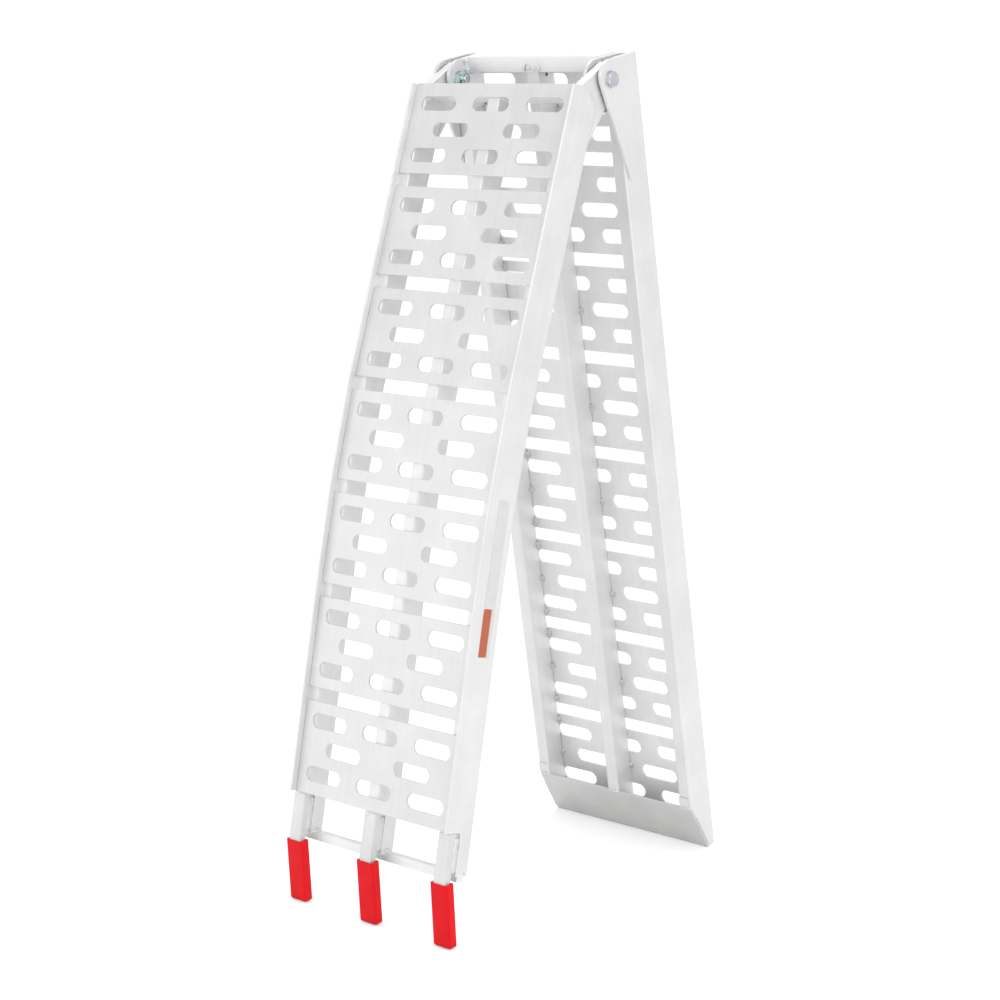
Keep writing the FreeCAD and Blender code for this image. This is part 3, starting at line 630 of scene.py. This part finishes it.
def bead(shells, path, a, b, width, bulge=0.86, pitch=2.1, ripple=0.12, sections=9, step=0.42,
         seed=0.0, flat=False, sink=0.35, taper=None):
    """A weld bead along a path in mm. In the corner between the directions a and b it is a
    rounded fillet of leg width; with flat it is a low rounded strip of half width width, whose
    sides lie along +a and -a and whose crown points along b. Its hidden base is sunk."""
    dense, total = resample(path, step)
    taper = min(width if taper is None else taper, total / 2)
    verts = []
    for p, s in dense:
        size = end_size(min(s, total - s), taper)
        wobble = 1 + WOBBLE * jitter(s * WOBBLE_RATE + seed * 7.3, seed, 0.0)
        drift = DRIFT * width * jitter(s * DRIFT_RATE + 31.7 + seed * 3.1, 5.0, seed)
        for j in range(sections):
            angle = math.pi * j / (sections - 1)
            crest = math.sin(angle)
            # the ripples lag at the sides, so that they look like overlapping crescents
            phase = (s + 0.55 * pitch * crest) / pitch + seed
            phase -= math.floor(phase)
            wave = 1 + ripple * (math.sin(math.pi * phase) ** 0.8 - 0.6) * (0.35 + 0.65 * crest)
            if flat:
                reach = width * wobble * size * (1 + (wave - 1) * 0.4)
                rise = bulge * width * size * wobble * wave * math.sin(angle) ** 0.8
                q = p + a * (reach * math.cos(angle) + drift) + b * rise
            else:
                turn = angle / 2
                shape = 1 - (1 - bulge) * math.sin(2 * turn)
                reach = width * wobble * size * wave * shape
                q = p + a * (reach * math.cos(turn)) + b * (reach * math.sin(turn))
            verts.append(q * MM)
        if flat:
            base = [p - a * (width * size) - b * sink, p + a * (width * size) - b * sink]
        else:
            base = [p + b * (width * size * 0.9) - a * sink, p - (a + b) * sink,
                    p + a * (width * size * 0.9) - b * sink]
        verts += [q * MM for q in base]
    rings = len(dense)
    around = sections + len(base)
    faces = tube_sides(rings, around)
    faces.append(tuple(reversed(range(around))))
    faces.append(tuple((rings - 1) * around + j for j in range(around)))
    shells.add(verts, faces)


def blob(shells, p, a, b, c, width, length, seed, bulge=0.95, ripple=0.10):
    """A lump of weld in a corner: p is on the corner line, c along it."""
    bead(shells, [p - c * (length / 2), p + c * (length / 2)], a, b, width, bulge=bulge,
         pitch=2.6, ripple=ripple, sections=11, step=0.45, seed=seed, taper=length * 0.5)


def tack(shells, p, a, b, c, width, length, seed):
    """A rough tack weld: a main lump and two smaller ones that run into it."""
    blob(shells, p, a, b, c, width, length, seed=seed, bulge=0.9, ripple=0.24)
    k = jitter(seed * 5.1, 2.0, 0.3)
    blob(shells, p + c * (length * 0.34) - a * 0.2, a, b, c, width * (0.80 + 0.25 * k),
         length * 0.6, seed=seed + 3.3, bulge=1.0, ripple=0.3)
    blob(shells, p - c * (length * 0.30) - b * 0.2, a, b, c, width * (0.74 - 0.25 * k),
         length * 0.5, seed=seed + 5.9, bulge=1.0, ripple=0.3)


upper_welds, ear_welds, lower_welds, lower_bar_welds = Shells(), Shells(), Shells(), Shells()

# ---------------------------------------------------------------- tack welds under the deck plates
RAIL_TACKS = (-53.0, 0.5, 53.0)     # s from the plate's centre
TACK_SCATTER = 1.6                  # wander of a tack along s
# s from each plate's centre of the tacks at the centre beam
UPPER_BEAM_TACKS = [1.0] * UPPER_PLATES
LOWER_BEAM_TACKS = [3.6] * (LOWER_PLATES - 1) + [-5.0]


def tack_plates(line, shells, first, beam_tacks):
    """Tacks from below, in the corners of each deck plate with the rails and the beam."""
    for k, beam_offset in enumerate(beam_tacks):
        centre = plate_centre(first, k)
        along, down = line.along(centre), -line.out(centre)
        for j, offset in enumerate(RAIL_TACKS):
            for side in (-1, 1):
                s = centre + offset + TACK_SCATTER * jitter(k * 3.7, j * 1.9, side)
                width = 6.0 + 1.6 * jitter(k * 1.3, j * 2.7, side * 3.1)
                tack(shells, line.spot(side * RAIL_INNER_X, s, -PLATE_THICKNESS),
                     ACROSS * -side, down, along, width, 1.5 * width,
                     seed=k * 0.37 + j * 0.71 + side * 0.2)
        for side in (-1, 1):
            s = centre + beam_offset + TACK_SCATTER * jitter(k * 2.1, 9.0, side)
            width = 5.4 + 1.2 * jitter(k * 1.7, 4.4, side * 2.3)
            tack(shells, line.spot(side * BEAM_SIDE_X, s, -PLATE_THICKNESS),
                 ACROSS * side, down, along, width, 1.6 * width, seed=k * 0.53 + side * 0.4)


tack_plates(UPPER, upper_welds, UPPER_FIRST, UPPER_BEAM_TACKS)
tack_plates(LOWER, lower_welds, LOWER_FIRST, LOWER_BEAM_TACKS)

# ---------------------------------------------------------------- hinge end of the upper section
# (s, h) along the sloping cut of each rail web, where the ear comes out
CUT_OUTER = ((25.8, -20.7), (28.6, -24.9), (35.6, -35.5), (43.8, -42.0), (47.0, -43.6))
CUT_INNER = ((26.1, -27.4), (26.7, -29.4), (38.0, -37.2), (46.0, -43.4))
CUT_ANGLE = math.radians(38)
EAR_UNDERSIDE = (47.5, 92.0)        # s of the beads along the webs' underside edges
EAR_END_S = 99.0
EAR_END_X = (127.0, 139.0)
UPPER_BAR_UNDER_H = -27.0
UPPER_BAR_UNDER_S = (29.5, 40.5)
UPPER_BAR_LOW_S = 42.0              # face of the crossbar away from the pin


def weld_ear(side):
    along, out = UPPER.along(0), UPPER.out(0)
    off_cut = -(along * math.sin(CUT_ANGLE) + out * math.cos(CUT_ANGLE))
    # each web: x of its face on the ear's side, direction across, line of its cut
    for web, facing, cut in ((HALF_WIDTH - WALL, 1, CUT_OUTER),
                             (RAIL_INNER_X + WALL, -1, CUT_INNER)):
        across = ACROSS * (side * facing)
        bead(ear_welds, UPPER.path(*((side * web, s, h) for s, h in cut)), off_cut, across,
             3.0, bulge=0.84, pitch=2.6, seed=0.3 * side + facing)
        bead(ear_welds, UPPER.path(*((side * web, s, -UPPER_DEPTH) for s in EAR_UNDERSIDE)),
             -out, across, 2.8, bulge=0.84, pitch=2.3, seed=0.5 * side + facing)
    # the ear's end in the rail's floor
    bead(upper_welds, UPPER.path(*((side * x, EAR_END_S, -UPPER_DEPTH) for x in EAR_END_X)),
         along, -out, 2.6, bulge=0.8, pitch=2.3, seed=0.1)


def weld_upper_crossbar(side):
    """The crossbar to a rail's inner web and to the beam."""
    along, out = UPPER.along(0), UPPER.out(0)
    inward = ACROSS * -side
    bead(upper_welds, UPPER.path(*((side * RAIL_INNER_X, 26.2, h) for h in (-25.0, -5.0))),
         along * -1, inward, 2.4, bulge=0.9, seed=side - 1)
    bead(upper_welds,
         UPPER.path(*((side * RAIL_INNER_X, UPPER_BAR_LOW_S, h) for h in (-25.5, -5.0))),
         along, inward, 5.2, bulge=0.9, ripple=0.3, pitch=3.6, seed=side + 1)
    bead(upper_welds,
         UPPER.path(*((side * RAIL_INNER_X, s, UPPER_BAR_UNDER_H) for s in UPPER_BAR_UNDER_S)),
         -out, inward, 2.8, seed=side * 0.4)
    bead(upper_welds,
         UPPER.path(*((side * BEAM_SIDE_X, UPPER_BAR_LOW_S, h) for h in (-25.5, -5.5))),
         along, ACROSS * side, 2.6, seed=side * 0.9)


for side in (-1, 1):
    weld_ear(side)
for side in (-1, 1):
    weld_upper_crossbar(side)

# ---------------------------------------------------------------- finger end of the upper section
FINGER_SIDE_X = 7.0                 # from the finger's middle
FINGER_STEP_H = -16.4
FINGER_STEP_S = (1008.5, 1056.0)
SEAM_HALF = 9.6
SEAM_S, SEAM_H = 1002.2, -3.4
RUN_X = -5.4                        # from the finger's middle
RUN_LINE = ((1001.5, -2.4), (1006.0, -1.2), (1011.0, -1.2))     # (s, h)
FINGER_BAR_S = 1055.0
FINGER_BAR_H = (-37.0, -27.0)
FINGER_BAR_TOP_H = -25.5
finger_along, finger_out = UPPER.along(UPPER_LENGTH), UPPER.out(UPPER_LENGTH)


def weld_finger(index, middle):
    for side in (-1, 1):
        # long bead that fills the step between the finger and the opened rail
        path = UPPER.path(*((middle + side * FINGER_SIDE_X, s, FINGER_STEP_H)
                            for s in FINGER_STEP_S))
        bead(upper_welds, path, finger_out, ACROSS * side, 4.9, bulge=0.68, pitch=2.5,
             ripple=0.10, sections=13, flat=True, sink=0.5, seed=index * 0.7 + side)
    # over the seam between the last plate and the finger's end
    path = UPPER.path(*((middle + x, SEAM_S, SEAM_H) for x in (-SEAM_HALF, SEAM_HALF)))
    bead(upper_welds, path, finger_along, finger_out, 3.0, flat=True, bulge=0.5, pitch=2.5,
         ripple=0.14, sink=1.6, seed=index + 0.3)
    # a short run from it along the finger's top
    path = UPPER.path(*((middle + RUN_X, s, h) for s, h in RUN_LINE))
    bead(upper_welds, path, ACROSS, finger_out, 2.6, flat=True, bulge=0.45, pitch=2.4,
         ripple=0.1, seed=index + 1.7)


def weld_finger_crossbar(side):
    """The crossbar to a rail's inner web and to the beam."""
    for x, facing in ((side * RAIL_INNER_X, -side), (side * BEAM_SIDE_X, side)):
        bead(upper_welds, UPPER.path(*((x, FINGER_BAR_S, h) for h in FINGER_BAR_H)),
             ACROSS * facing, -finger_along, 3.0, bulge=0.9, seed=side + facing)
        bead(upper_welds,
             UPPER.path(*((x, s, FINGER_BAR_TOP_H) for s in (1056.0, UPPER_LENGTH))),
             ACROSS * facing, finger_out, 2.2, seed=side - facing)


for i, middle in enumerate((-RAIL_MID_X, 0.0, RAIL_MID_X)):
    weld_finger(i, middle)
for side in (-1, 1):
    weld_finger_crossbar(side)

# ---------------------------------------------------------------- hinge end of the lower section
HINGE_PLATE_THICKNESS = 5.0
HINGE_PLATE_X = RAIL_INNER_X - HINGE_PLATE_THICKNESS
HINGE_PLATE_DASHES = ((-14.0, 29.0), (56.0, 81.0), (103.0, 132.0))      # s from, to
LOWER_BAR_UNDER_H = -37.5
LOWER_BAR_LOW_S = -5.7              # its face towards the foot
LOWER_BAR_H = -36.0                 # where the beads up that face start
lower_along, lower_out = LOWER.along(0), LOWER.out(0)


def hinge_plate_edge(s):
    """h of the outer hinge plate's deck-side edge: level, then sloping down."""
    return -1.0 if s < -4 else -1.0 + (s + 4.0) * (-28.5 / 142.0)


def weld_lower_hinge(side):
    inward, outward = ACROSS * -side, ACROSS * side
    # outer hinge plate to the rail's web
    for i, (s0, s1) in enumerate(HINGE_PLATE_DASHES):
        stations = [s0 + (s1 - s0) * j / 6 for j in range(7)]
        path = LOWER.path(*((side * HALF_WIDTH, s, hinge_plate_edge(s)) for s in stations))
        bead(lower_welds, path, lower_out, outward, 3.2, bulge=0.85, pitch=2.4, ripple=0.16,
             seed=i * 0.37 + side)
    # crossbar to the inner plate, with heavy lumps on its underside
    path = LOWER.path(*((side * HINGE_PLATE_X, s, LOWER_BAR_UNDER_H) for s in (-24.5, -7.0)))
    bead(lower_bar_welds, path, -lower_out, inward, 3.4, bulge=0.95, ripple=0.18, pitch=2.8,
         seed=side * 0.3)
    path = LOWER.path(*((side * HINGE_PLATE_X, LOWER_BAR_LOW_S, h) for h in (LOWER_BAR_H, -6.0)))
    bead(lower_welds, path, lower_along, inward, 3.2, ripple=0.16, seed=side * 0.6)
    # each lump: s, width, length, seed
    for s, width, length, seed in ((-21.5, 5.4, 10.0, 1.3), (-10.0, 6.2, 9.0, 2.7)):
        tack(lower_bar_welds, LOWER.spot(side * HINGE_PLATE_X, s, LOWER_BAR_UNDER_H),
             -lower_out, inward, lower_along, width, length, seed=side * seed)
    # inner plate to the inner web
    bead(lower_welds, LOWER.path(*((side * RAIL_INNER_X, 44.0, h) for h in (-34.0, -14.0))),
         lower_along, inward, 2.8, seed=side * 0.2)
    # beam to the crossbar
    path = LOWER.path(*((side * BEAM_SIDE_X, LOWER_BAR_LOW_S, h) for h in (LOWER_BAR_H, -5.5)))
    bead(lower_welds, path, lower_along, outward, 3.4, bulge=0.95, pitch=2.6, ripple=0.18,
         seed=side * 0.8)
    # a puddle beside the beam on the crossbar's underside
    blob(lower_bar_welds, LOWER.spot(side * 9.0, -11.5, LOWER_BAR_UNDER_H), outward, -lower_out,
         lower_along, 6.0, 13.0, seed=side * 2.1, ripple=0.25)


for side in (-1, 1):
    weld_lower_hinge(side)
# across the beam's end, with a rough patch where that weld was started
bead(lower_bar_welds,
     LOWER.path(*((x, LOWER_BAR_LOW_S, LOWER_BAR_UNDER_H) for x in (-11.0, 11.0))),
     -lower_out, -lower_along, 4.2, bulge=1.0, pitch=2.8, ripple=0.25, seed=0.2)
blob(lower_bar_welds, LOWER.spot(-7.0, -10.5, LOWER_BAR_UNDER_H), -lower_out, ACROSS,
     lower_along, 4.6, 11.0, seed=4.4, ripple=0.3)

# ---------------------------------------------------------------- foot of the lower section
FOOT_WELD_S = (FOOT_START + 6.0, FOOT_START + 44.0)
FOOT_SEAM_S = (1083.0, 1098.0, 1112.0, 1124.0, 1135.0)
TAB_HALF = 9.0
TAB_S = (1048.0, 1064.0)
TAB_END_S = 1047.0
# x from, x to, whether it is at a rail
HEEL_SPANS = ((-141.0, -125.0, True), (-9.0, 9.0, False), (125.0, 141.0, True))
foot_normal = -lower_along * math.sin(FOOT_ANGLE) + lower_out * math.cos(FOOT_ANGLE)


def foot_face(s):
    """h of the foot plate's inner face."""
    return (-LOWER_DEPTH + (s - FOOT_START) * math.tan(FOOT_ANGLE)
            + FOOT_THICKNESS / math.cos(FOOT_ANGLE))


def weld_foot(side):
    # foot plate to the inner web and to the beam
    for x, facing in ((side * RAIL_INNER_X, -side), (side * BEAM_SIDE_X, side)):
        bead(lower_welds, LOWER.path(*((x, s, foot_face(s)) for s in FOOT_WELD_S)),
             foot_normal, ACROSS * facing, 2.6, seed=side + facing)
    # rough bead over the seam between the foot plate's edge and the rail's outer web
    path = LOWER.path(*((side * (HALF_WIDTH - 0.2), s, foot_face(s) - 0.6)
                        for s in FOOT_SEAM_S))
    bead(lower_welds, path, foot_normal, ACROSS * side, 2.9, bulge=0.60, pitch=4.6,
         ripple=0.55, flat=True, sink=0.3, seed=3.1 * side)
    # edges of the tab that ties the heel to the rail's underside
    for edge in (-1, 1):
        x = side * RAIL_MID_X + edge * TAB_HALF
        bead(lower_bar_welds, LOWER.path(*((x, s, -LOWER_DEPTH) for s in TAB_S)),
             ACROSS * edge, -lower_out, 0.8, flat=True, bulge=0.4, ripple=0.2, seed=side + edge)


def weld_heel(x0, x1, at_rail):
    """The foot plate's heel against an underside, and at a rail the tab's far end."""
    bead(lower_bar_welds,
         LOWER.path(*((x, FOOT_START - 0.2, -LOWER_DEPTH) for x in (x0, x1))),
         -lower_along, -lower_out, 2.6, bulge=0.9, pitch=2.6, ripple=0.34, seed=x0)
    if at_rail:
        bead(lower_welds, LOWER.path(*((x, TAB_END_S, -LOWER_DEPTH) for x in (x0, x1))),
             -lower_along, -lower_out, 1.3, flat=True, bulge=0.7, pitch=2.2, ripple=0.3,
             seed=x0 + 0.4)


for side in (-1, 1):
    weld_foot(side)
for span in HEEL_SPANS:
    weld_heel(*span)

upper_welds.build("weld_beads_upper", "upper_section", WELD)
ear_welds.build("weld_beads_ears", "upper_section", WELD_EAR)
lower_welds.build("weld_beads_lower", "lower_section", WELD_DARKER)
lower_bar_welds.build("weld_beads_lower_crossbar", "lower_section", WELD)

# ---------------------------------------------------------------- bolt thread ends
THREAD_PITCH = 1.75
THREAD_STEPS = 40                   # per turn
THREAD_ROOT = 5.5
THREAD_CREST = 6.28
THREAD_PROFILE = ((-0.72, THREAD_ROOT), (-0.14, THREAD_CREST),
                  (0.14, THREAD_CREST), (0.72, THREAD_ROOT))    # (offset along x, radius)
THREAD_START = 0.3                  # gap from the nut
THREAD_SPARE = 0.9                  # bolt end left plain in all
FADE_IN, FADE_OUT = 10.0, 14.0      # steps over which the ridge rises and dies away


def thread(place, side):
    """Rolled thread on the bolt's end past the lock nut, as a helical ridge."""
    nut_lo, nut_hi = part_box("hinge_lock_nut_" + place)
    bolt_lo, bolt_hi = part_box("hinge_bolt_" + place)
    nut_face = (nut_lo.x if side > 0 else nut_hi.x) / MM
    tip = (bolt_lo.x if side > 0 else bolt_hi.x) / MM
    turns = (abs(nut_face - tip) - THREAD_SPARE) / THREAD_PITCH
    rows = int(turns * THREAD_STEPS) + 1
    verts = []
    for i in range(rows):
        angle = 2 * math.pi * i / THREAD_STEPS
        x = nut_face - side * (THREAD_START + THREAD_PITCH * i / THREAD_STEPS)
        rise = min(1.0, i / FADE_IN, (rows - 1 - i) / FADE_OUT)
        for offset, full in THREAD_PROFILE:
            radius = THREAD_ROOT + (full - THREAD_ROOT) * rise
            verts.append(Vector((x - side * offset, PIN[1] + radius * math.cos(angle),
                                 PIN[2] + radius * math.sin(angle))) * MM)
    size = len(THREAD_PROFILE)
    faces = tube_sides(rows, size)
    faces.append(tuple(range(size)))
    faces.append(tuple((rows - 1) * size + j for j in range(size)))
    shells = Shells()
    shells.add(verts, faces)
    shells.build("bolt_thread_" + place, "lower_section", ZINC_GREEN, slot="zinc_hardware",
                 smooth=False)


thread("right", 1)
thread("left", -1)

# ---------------------------------------------------------------- stage, light and camera (m)
FLOOR_HALF = 40.0
FLOOR_Z = -0.0005


def floor_paper():
    """White paper that glows a little for the camera only."""
    shader = Shader("floor_paper")
    tone = shader.noise(shader.position(), scale=3.0, detail=3.0)
    shader.put("Base Color", shader.ramp(tone, (0.3, 0.93), (0.7, 0.945)))
    shader.put("Roughness", 0.8)
    shader.put("Specular IOR Level", 0.1)
    rays = shader.node("ShaderNodeLightPath")
    shader.put("Emission Color", rgba(1.0))
    shader.put("Emission Strength", shader.times(rays.outputs["Is Camera Ray"], factor=0.22))
    return shader.material


def make_floor():
    mesh = bpy.data.meshes.new("floor")
    corners = ((-1, -1), (1, -1), (1, 1), (-1, 1))
    mesh.from_pydata([(x * FLOOR_HALF, y * FLOOR_HALF, FLOOR_Z) for x, y in corners], [],
                     [(0, 1, 2, 3)])
    floor = bpy.data.objects.new("floor", mesh)
    bpy.context.scene.collection.objects.link(floor)
    mesh.materials.append(floor_paper())


def make_world(lighting, seen):
    """White world with one strength as a light and another where the camera sees it."""
    world = bpy.data.worlds.new("studio")
    bpy.context.scene.world = world
    world.use_nodes = True
    tree = world.node_tree
    background = tree.nodes["Background"]
    background.inputs[0].default_value = rgba(1.0)
    rays = tree.nodes.new("ShaderNodeLightPath")
    strength = tree.nodes.new("ShaderNodeMix")
    strength.data_type = "FLOAT"
    tree.links.new(rays.outputs["Is Camera Ray"], strength.inputs[0])
    strength.inputs[2].default_value = lighting
    strength.inputs[3].default_value = seen
    tree.links.new(strength.outputs[0], background.inputs[1])


def softbox(name, location, target, size, power):
    light = bpy.data.lights.new(name, "AREA")
    light.shape = "RECTANGLE"
    light.size = light.size_y = size
    light.energy = power
    obj = bpy.data.objects.new(name, light)
    bpy.context.scene.collection.objects.link(obj)
    obj.location = location
    aim = Vector(target) - Vector(location)
    obj.rotation_euler = aim.to_track_quat("-Z", "Y").to_euler()


CAMERA_FROM_PIN = Vector((2.06606, -2.418475, -0.023503))
# the camera's right, up and backward directions
CAMERA_AXES = ((0.753618, 0.657251, 0.008984),
               (-0.118896, 0.12286, 0.985276),
               (0.64647, -0.74359, 0.170734))


def make_camera():
    data = bpy.data.cameras.new("camera")
    camera = bpy.data.objects.new("camera", data)
    bpy.context.scene.collection.objects.link(camera)
    data.sensor_fit = "HORIZONTAL"
    data.sensor_width = 36.0
    data.lens = 83.8152
    data.clip_start = 0.05
    data.clip_end = 200.0
    turn = Matrix(CAMERA_AXES).transposed().to_4x4()
    camera.matrix_world = Matrix.Translation(Vector(PIN) * MM + CAMERA_FROM_PIN) @ turn
    bpy.context.scene.camera = camera


make_floor()
make_world(lighting=0.90, seen=1.05)
softbox("key_softbox", location=(3.7, -1.45, 2.3), target=(0, 0, 0.6), size=2.2, power=43.0)
softbox("fill_softbox", location=(-3.0, -3.2, 0.9), target=(0, 0, 0.5), size=2.4, power=15.0)
softbox("top_softbox", location=(-0.5, 0.7, 3.7), target=(0, 0, 0.5), size=2.4, power=24.0)
make_camera()

view = bpy.context.scene.view_settings
view.view_transform = "Standard"
view.look = "None"
view.exposure = 0.0
view.gamma = 1.0
